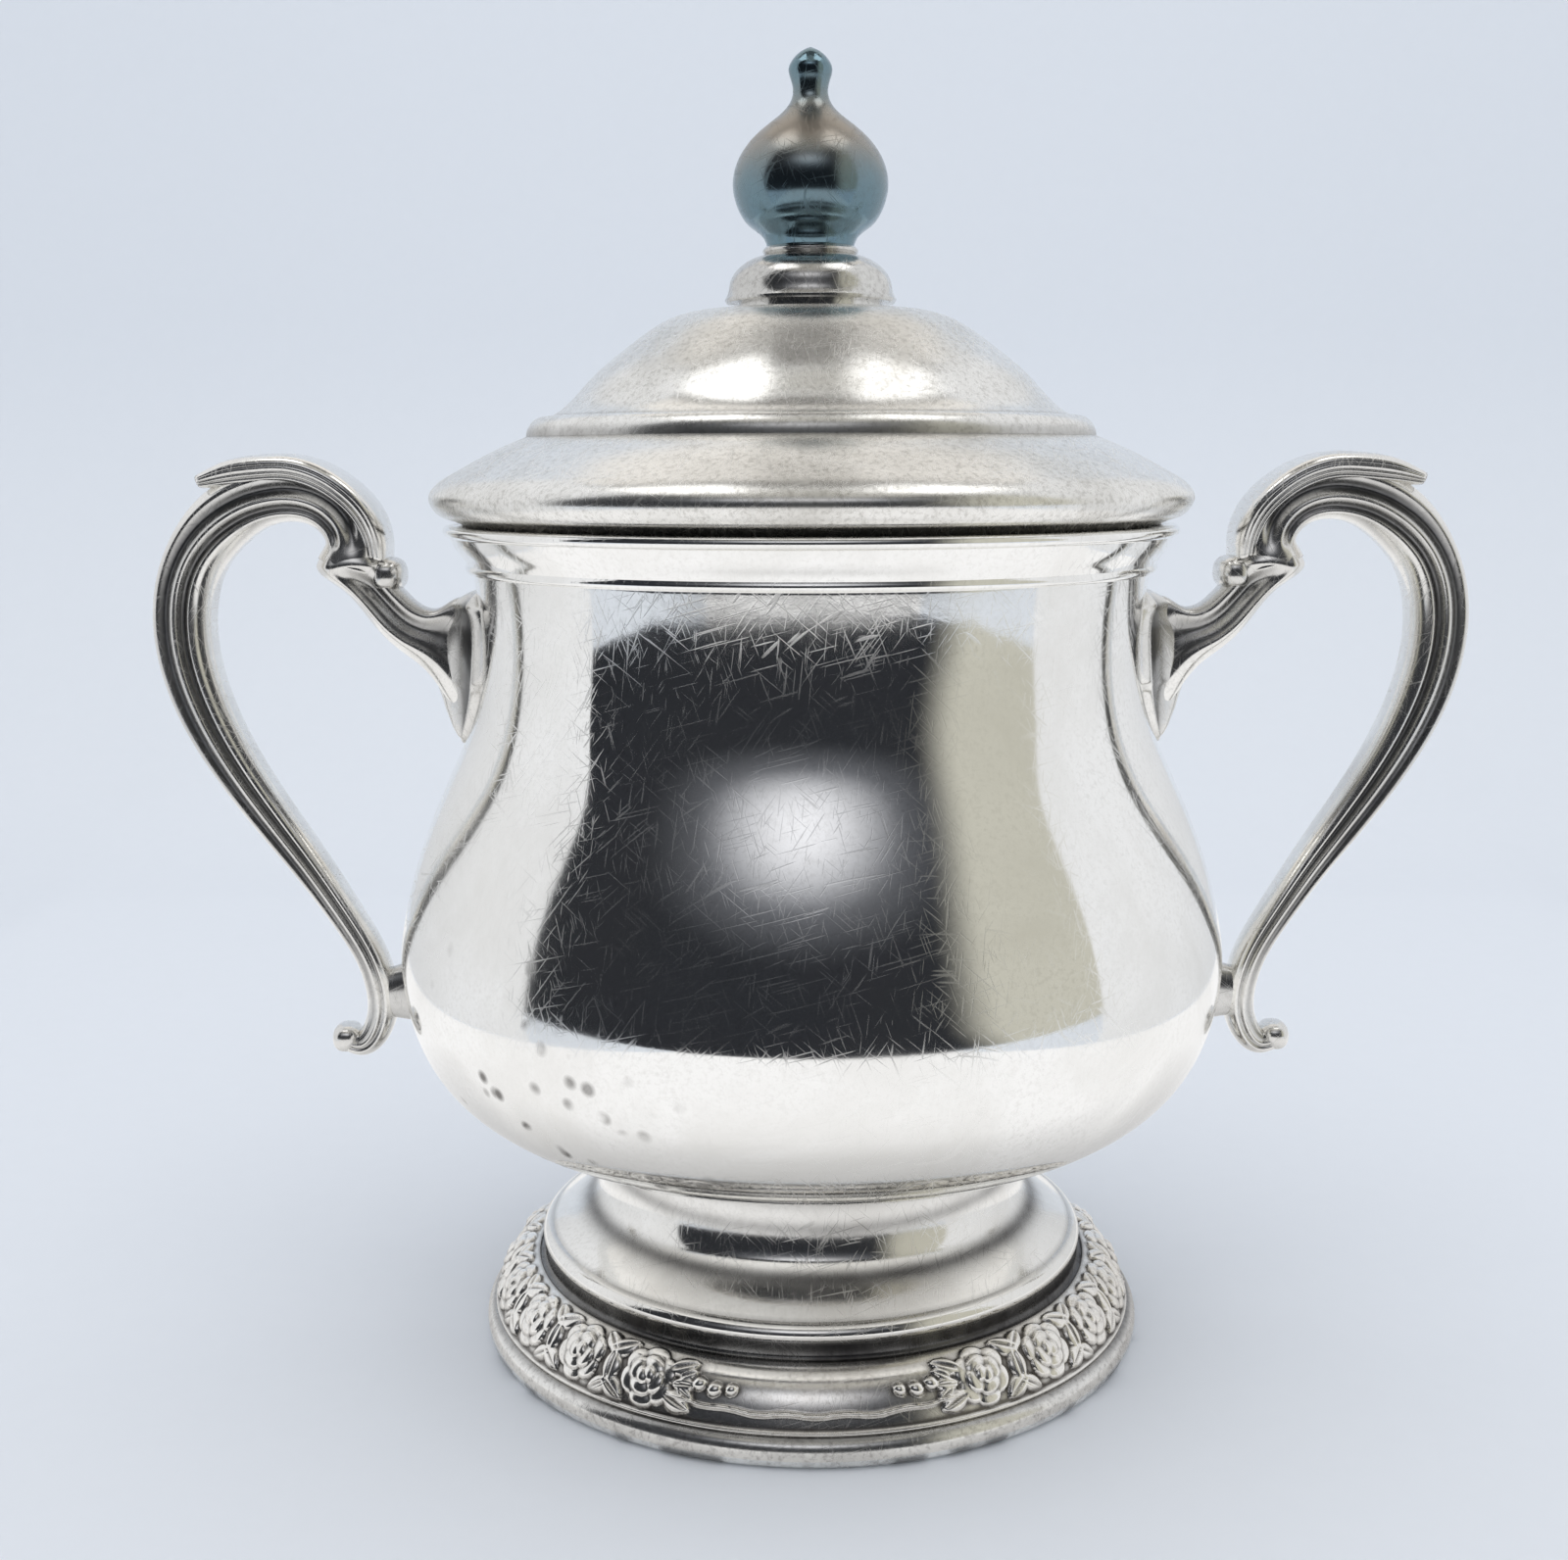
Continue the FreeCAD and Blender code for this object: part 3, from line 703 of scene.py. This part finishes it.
# The strap starts inside the scroll and ends inside the wall of the neck.
STRAP_UPPER = [
    (55.8, 104.2), (54.1, 102.0), (53.6, 100.2), (51.9, 97.9), (49.9, 96.4), (48.3, 96.2), (46.9, 96.9),
    (45.4, 97.6), (43.6, 97.2), (41.9, 96.0),
]
STRAP_LOWER = [
    (61.6, 104.2), (63.6, 101.6), (60.6, 98.8), (57.8, 95.8), (55.4, 92.7), (53.1, 90.6), (50.8, 88.8),
    (48.9, 86.6), (47.0, 83.6), (44.3, 80.6),
]
STRAP_WIDTHS = [3.4, 4.5, 4.2, 3.9, 3.6, 3.3, 2.9, 2.5, 2.0, 1.4]
STUB_LOWER = [(51.4, 40.4), (53.5, 41.0), (56.0, 41.4), (57.6, 41.6)]
STUB_UPPER = [(51.4, 49.6), (53.5, 49.0), (56.0, 48.2), (57.6, 47.8)]
STUB_WIDTHS = [2.9, 2.5, 2.4, 2.4]


def scroll_relief(share, place):
    """Two flutes on each side of the scroll with a thin rib between them."""
    shift = -0.34 * (1 - ramp(share, 0.22, 0.42))
    fade = ramp(share, 0.02, 0.10) * (1 - 0.55 * ramp(share, 0.62, 0.9))
    outer = bump(place, 0.46 + shift, 0.25)
    inner = bump(place, -0.18 + shift, 0.16)
    cut = fade * (0.30 * outer + 0.26 * inner)
    # the flutes are darkened with painted dark reflection
    return cut, min(1.0, fade * (0.95 * outer + 0.85 * inner))


def cap_relief(share, place):
    """Three engraved lines along the leaf cap, closing towards its tip."""
    lines = bump(place, -0.52, 0.10) + 0.7 * bump(place, -0.18, 0.09) + 0.25 * bump(place, 0.2, 0.08)
    return 0.08 * lines, min(1.0, 0.55 * lines)


def strap_relief(share, place):
    """A dished strap with a rib along its lower edge."""
    rib = bump(place, -0.62, 0.18)
    dish = bump(place, 0.12, 0.42) * ramp(share, 0.08, 0.25) * (1 - 0.6 * ramp(share, 0.7, 0.95))
    line = bump(place, -0.36, 0.09) * ramp(share, 0.15, 0.3)
    edge = bump(place, 0.85, 0.16) * ramp(share, 0.15, 0.3)
    # the dish, a line above the rib and the upper edge are darkened with painted dark reflection
    return 0.46 * dish - 0.10 * rib + 0.06 * line, min(1.0, 0.6 * dish + 0.6 * line + 0.4 * edge)


def plain_relief(share, place):
    """No flutes, and a little darker all over."""
    return 0.0, 0.3


def neck_radius(level):
    return np.interp(level, BOWL_OUTSIDE[::-1, 1], BOWL_OUTSIDE[::-1, 0])


SHIELD_TOP = 98.8
SHIELD_BOTTOM = 78.2
# share of the way down, and half the width there
SHIELD_SHAPE = [(0.0, 5.4), (0.08, 8.4), (0.22, 9.8), (0.4, 9.2), (0.6, 6.9), (0.8, 3.6), (1.0, 0.25)]
# how far the middle ridge of the leaf stands off the neck, at each height
RIDGE_HEIGHT = ((78.2, 79.4, 80.7, 83.0, 86.0, 90.0, 94.0, 98.8), (0.2, 1.2, 2.4, 4.0, 5.6, 6.3, 5.0, 2.6))


def shield_leaf(mirror, across=40, down=48):
    """The pointed leaf by which the handle lies on the neck: a rim round the
    edge, hollow lobes and a ridge down the middle."""
    shape = smooth(SHIELD_SHAPE, 10)
    outer = []
    recess = []
    under = []
    for v in np.linspace(0, 1, down + 1):
        level = SHIELD_TOP - (SHIELD_TOP - SHIELD_BOTTOM) * v
        half = np.interp(v, shape[:, 0], shape[:, 1])
        base = neck_radius(level)
        for u in np.linspace(-1, 1, across + 1):
            edge = min(1.0, (1 - abs(u)) / 0.22, v / 0.10, (1 - v) / 0.06)
            rim = 0.75 * bump(abs(u), 0.84, 0.13) + 0.5 * bump(v, 0.09, 0.05)
            ridge = np.interp(level, *RIDGE_HEIGHT) * (0.55 * bump(u, 0, 0.24) + 0.45 * bump(u, 0, 0.6))
            height = -0.45 + (0.75 + rim + ridge) * math.sqrt(max(edge, 0.0))
            turn = u * half / base
            radius = base + height
            outer.append((mirror * radius * math.cos(turn), radius * math.sin(turn), level))
            sunk = base - 0.5
            under.append((mirror * sunk * math.cos(turn), sunk * math.sin(turn), level))
            # painted dark reflection in the hollow lobes and along the edge
            dark = 0.85 * bump(abs(u), 0.50, 0.24) + 0.35 * bump(abs(u), 0.97, 0.05)
            recess.append(min(1.0, dark * edge))
    columns = across + 1
    count = len(outer)
    faces = []
    for i in range(down):
        for k in range(across):
            a = i * columns + k
            faces.append([a, a + 1, a + columns + 1, a + columns])
            faces.append([count + a, count + a + columns, count + a + columns + 1, count + a + 1])
    border = list(range(columns))
    border += [i * columns + across for i in range(1, down + 1)]
    border += [down * columns + k for k in range(across - 1, -1, -1)]
    border += [i * columns for i in range(down - 1, 0, -1)]
    for i, a in enumerate(border):
        b = border[(i + 1) % len(border)]
        faces.append([a, b, count + b, count + a])
    return outer + under, faces, recess + [0.0] * count


def make_handle(side, mirror):
    path = smooth(SCROLL_STATIONS, 12)
    tangent = unit_tangents(path[:, :2])
    outward = np.stack([-tangent[:, 1], tangent[:, 0]], axis=1)
    share = np.linspace(0, 1, len(path))
    under_cap = 0.7 * (1 - ramp(share, 0.24, 0.34))
    outer = path[:, :2] + outward * (path[:, 2] - under_cap)[:, None]
    inner = path[:, :2] - outward * path[:, 2][:, None]
    scroll = ribbon(inner, outer, path[:, 3], scroll_relief, mirror, 56)
    cap_widths = smooth([(0.0, 3.6), (0.2, 4.3), (0.5, 4.9), (0.8, 4.6), (1.0, 3.2)], 6)
    cap_outer = smooth(CAP_OUTER, 8)
    cap_share = np.linspace(0, 1, len(cap_outer))
    widths = np.interp(cap_share, cap_widths[:, 0], cap_widths[:, 1])
    cap = ribbon(smooth(CAP_INNER, 8), cap_outer, widths, cap_relief, mirror, 48, power=3.2, round_end=False)
    tail = ball((62.3, 0, 38.6), (1.9, 2.7, 1.9), mirror)
    mesh_piece("scroll_casting_" + side, [scroll, cap, tail], handle_silver, "bowl",
               ["handle_scroll_" + side])
    stub = ribbon(STUB_LOWER, STUB_UPPER, STUB_WIDTHS, plain_relief, mirror, 24, round_end=False)
    mesh_piece("handle_stub_" + side, [stub], handle_silver, "bowl")
    strap_upper = smooth(STRAP_UPPER, 8)
    count = len(STRAP_WIDTHS)
    strap_widths = np.interp(np.linspace(0, count - 1, len(strap_upper)), range(count), STRAP_WIDTHS)
    strap = ribbon(smooth(STRAP_LOWER, 8), strap_upper, strap_widths, strap_relief, mirror, 44, power=2.2,
                   round_end=False)
    knob = ball((54.4, 0, 100.6), (2.2, 3.7, 2.2), mirror)
    mesh_piece("handle_palm_leaf_" + side, [strap, knob, shield_leaf(mirror)], handle_silver, "bowl",
               ["handle_palm_" + side])


make_bowl()
make_mouth_band()
make_pedestal()
make_border()
make_rim()
make_lid()
make_finial()
make_handle("right", 1)
make_handle("left", -1)
for node in ("finial_stud", "finial_washer", "finial_nut"):
    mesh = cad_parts[node].data
    mesh.materials.clear()
    mesh.materials.append(brass)


# ---- camera, tent and light -------------------------------------------------

def make_camera():
    """The photograph's view, close in front and a little below the lid's crown."""
    data = bpy.data.cameras.new("camera")
    data.sensor_width = 36
    data.lens = 42.73
    data.clip_start = 0.01
    camera = bpy.data.objects.new("camera", data)
    camera.location = (-3.5 * MM, -241.5 * MM, 115.0 * MM)
    tilt = Matrix.Rotation(math.radians(90 - 9.76), 3, "X")
    roll = Matrix.Rotation(math.radians(-0.15), 3, "Z")
    camera.rotation_euler = (tilt @ roll).to_euler()
    bpy.context.scene.collection.objects.link(camera)
    bpy.context.scene.camera = camera


def make_world():
    """White light from all round, brightest overhead."""
    world = bpy.data.worlds.new("white_light")
    bpy.context.scene.world = world
    world.use_nodes = True
    nodes = world.node_tree.nodes
    links = world.node_tree.links
    place = nodes.new("ShaderNodeTexCoord")
    split = nodes.new("ShaderNodeSeparateXYZ")
    links.new(place.outputs["Generated"], split.inputs["Vector"])
    fade = nodes.new("ShaderNodeValToRGB")
    elements = fade.color_ramp.elements
    elements[0].position = 0.0
    elements[0].color = (0.80, 0.84, 0.88, 1)
    elements[1].position = 1.0
    elements[1].color = (1.0, 1.0, 1.0, 1)
    middle = elements.new(0.35)
    middle.color = (0.88, 0.91, 0.94, 1)
    links.new(split.outputs["Z"], fade.inputs["Fac"])
    links.new(fade.outputs["Color"], nodes["Background"].inputs["Color"])
    nodes["Background"].inputs["Strength"].default_value = 0.95


def sheet_material():
    kit = Kit("white_sheet")
    cloth = kit.remap(kit.noise(260, 3, 0.5), 0.3, 0.7, 0.0, 0.06)
    kit.set(kit.shader.inputs["Base Color"], kit.mix(cloth, (0.80, 0.83, 0.88), (0.7, 0.74, 0.8)))
    kit.shader.inputs["Roughness"].default_value = 0.9
    return kit.material


def link_stage(name, points, faces, material):
    mesh = bpy.data.meshes.new(name)
    mesh.from_pydata([tuple(c * MM for c in p) for p in points], [], faces)
    mesh.polygons.foreach_set("use_smooth", [True] * len(mesh.polygons))
    mesh.materials.append(material)
    piece = bpy.data.objects.new(name, mesh)
    bpy.context.scene.collection.objects.link(piece)
    return piece


FLOOR_REACH = 2400        # to the front and to both sides
SWEEP_START = 240         # where the floor begins to curve up behind the bowl
SWEEP_RADIUS = 160
SWEEP_STEPS = 16
SWEEP_TOP = 1200


def make_floor():
    """A white sheet that lies flat under the bowl and curves up behind it."""
    profile = [(-FLOOR_REACH, 0), (SWEEP_START, 0)]
    for i in range(1, SWEEP_STEPS + 1):
        turn = math.pi / 2 * i / SWEEP_STEPS
        profile.append((SWEEP_START + SWEEP_RADIUS * math.sin(turn), SWEEP_RADIUS * (1 - math.cos(turn))))
    profile.append((SWEEP_START + SWEEP_RADIUS, SWEEP_TOP))
    points = [(x, y, z) for y, z in profile for x in (-FLOOR_REACH, FLOOR_REACH)]
    faces = [(2 * i, 2 * i + 1, 2 * i + 3, 2 * i + 2) for i in range(len(profile) - 1)]
    link_stage("floor", points, faces, sheet_material())


OPENING_DARK = (0.024, 0.026, 0.031)
STUDIO_CARDS = [
    # turn from the front to the right and height, both in degrees as seen from
    # the bowl, then half width, half height, colour and softness
    (78, 10, 46, 60, (0.56, 0.55, 0.48), 0.35),      # grey card on the right
    (0, 80, 100, 34, (0.50, 0.49, 0.46), 0.4),       # paler cloth overhead
    (-4, 41, 60, 27, (0.26, 0.27, 0.30), 1.0),       # haze round the lamp
    (-4, 41, 40, 15, (1.02, 1.03, 1.08), 1.0),       # soft lamp
]


def reflected_only(piece):
    piece.visible_camera = False
    piece.visible_diffuse = False
    piece.visible_transmission = False
    piece.visible_volume_scatter = False
    piece.visible_shadow = False


def glow_material(name):
    """Shows the colours stored in the mesh's glow attribute as they are."""
    material = bpy.data.materials.new(name)
    material.use_nodes = True
    nodes = material.node_tree.nodes
    links = material.node_tree.links
    nodes.remove(nodes["Principled BSDF"])
    seen = nodes.new("ShaderNodeAttribute")
    seen.attribute_name = "glow"
    glow = nodes.new("ShaderNodeEmission")
    links.new(seen.outputs["Color"], glow.inputs["Color"])
    links.new(glow.outputs["Emission"], nodes["Material Output"].inputs["Surface"])
    return material


def opening_colour(turn, height):
    """The colour of the tent's open front in one direction, in degrees."""
    colour = np.array(OPENING_DARK)
    for centre, level, rx, ry, tint, soft in STUDIO_CARDS:
        away = math.hypot((turn - centre) / rx, (height - level) / ry)
        colour = colour + (np.array(tint) - colour) * (1 - ramp(away, 1 - soft, 1.0))
    return (*colour, 1.0)


def glow_sheet(name, grid, colours):
    """A sheet through a grid of points, glowing in its own colours and seen in
    reflections alone."""
    rows = len(grid)
    columns = len(grid[0])
    faces = []
    for i in range(rows - 1):
        for k in range(columns - 1):
            a = i * columns + k
            faces.append((a, a + 1, a + columns + 1, a + columns))
    sheet = link_stage(name, [p for row in grid for p in row], faces, glow_material(name))
    flat = np.array(colours, float).reshape(-1)
    sheet.data.attributes.new("glow", "FLOAT_COLOR", "POINT").data.foreach_set("color", flat)
    reflected_only(sheet)


def glow_field(name, rows, turns, place):
    """A glowing sheet whose points and colours place(row, turn) gives."""
    field = [[place(row, turn) for turn in turns] for row in rows]
    grid = [[point for point, _ in line] for line in field]
    glow_sheet(name, grid, [colour for line in field for _, colour in line])


EYE = 80.0                # height from which the opening's directions are counted
OPENING_REACH = 2500.0    # distance of the opening's round wall
OPENING_TURN = 100        # degrees that it goes round to each side
TENT_HALF = 200.0
TENT_FRONT = -70.0
TENT_BACK = 300.0
TENT_TOP = 430.0
ROOF_HALF = 190.0
# from front to back: where the roof's brightness changes, and what it is
ROOF_SHADES = ((-5.0, 0.20), (105.0, 0.20), (135.0, 0.92), (TENT_BACK, 0.92))
# where the white sheet ends: degrees from the front, and distance
SHEET_EDGE = ((0, 30, 52, 66, 75, 82, 100), (350, 360, 395, 465, 540, 760, 1600))
SHEET_START = 45.0        # just outside the foot


def opening_wall(height, turn):
    up = math.radians(height)
    side = math.radians(turn)
    flat = OPENING_REACH * math.cos(up)
    point = (flat * math.sin(side), -flat * math.cos(side), EYE + OPENING_REACH * math.sin(up))
    return point, opening_colour(turn, height)


def opening_ground(share, turn):
    start = np.interp(abs(turn), *SHEET_EDGE)
    reach = start * (OPENING_REACH / start) ** share
    side = math.radians(turn)
    colour = opening_colour(turn, -math.degrees(math.atan2(EYE, reach)))
    return (reach * math.sin(side), -reach * math.cos(side), 0.4), colour


def sheet_glow(share, turn):
    reach = SHEET_START + share * (np.interp(abs(turn), *SHEET_EDGE) - SHEET_START)
    side = math.radians(turn)
    limit = TENT_HALF - 5     # stays inside the side walls
    x = min(max(reach * math.sin(side), -limit), limit)
    # painted shadow: the glow is darker close round the foot
    shade = 0.55 + 0.42 * ramp(reach, SHEET_START, 90)
    return (x, -reach * math.cos(side), 0.2), (shade, shade, 1.01 * shade, 1.0)


def make_opening():
    """The dim open front of the tent, as a far round wall and the dark ground
    beyond the white sheet, and a glowing copy of the white sheet that paints a
    brighter floor into the reflections, with a painted shadow round the foot.
    The metal's reflections alone see them."""
    glow_field("dim_opening", np.linspace(-2, 88, 130), np.linspace(-OPENING_TURN, OPENING_TURN, 361),
               opening_wall)
    glow_field("dark_ground", np.linspace(0, 1, 40), np.linspace(-OPENING_TURN, OPENING_TURN, 241),
               opening_ground)
    glow_field("bright_sheet", np.linspace(0, 1, 20), np.linspace(-180, 180, 145), sheet_glow)


def make_tent():
    """White side walls, and a roof that is dark in front and white behind.
    They hide the dim opening from the sides and the back of the bowl."""
    shade = (0.84, 0.85, 0.87, 1.0)
    low = (0.66, 0.68, 0.71, 1.0)
    for side, name in ((-1, "tent_wall_left"), (1, "tent_wall_right")):
        grid = [[(side * TENT_HALF, y, z) for y in (TENT_FRONT, TENT_BACK)] for z in (0, TENT_TOP)]
        glow_sheet(name, grid, [shade, low, shade, shade])
    roof = [[(x, y, TENT_TOP) for x in (-ROOF_HALF, ROOF_HALF)] for y, _ in ROOF_SHADES]
    colours = [(grey, 0.97 * grey, 0.93 * grey, 1.0) for _, grey in ROOF_SHADES for _ in (0, 1)]
    glow_sheet("tent_roof", roof, colours)


def make_lamp():
    """A large soft lamp over the tent, and two bright slots just under the
    roof that only reflections see."""
    data = bpy.data.lights.new("soft_lamp", "AREA")
    data.size = 600 * MM
    data.energy = 0.5
    lamp = bpy.data.objects.new("soft_lamp", data)
    lamp.location = (0, -20 * MM, 600 * MM)
    lamp.visible_glossy = False
    bpy.context.scene.collection.objects.link(lamp)
    for side, name in ((-1, "tent_slot_left"), (1, "tent_slot_right")):
        slot = [[(side * x, y, TENT_TOP - 10) for x in (60, ROOF_HALF)] for y in (-90, 60)]
        glow_sheet(name, slot, [(1.9, 1.9, 1.9, 1.0)] * 4)


make_camera()
make_world()
make_floor()
make_opening()
make_tent()
make_lamp()
bpy.context.scene.view_settings.view_transform = "Standard"
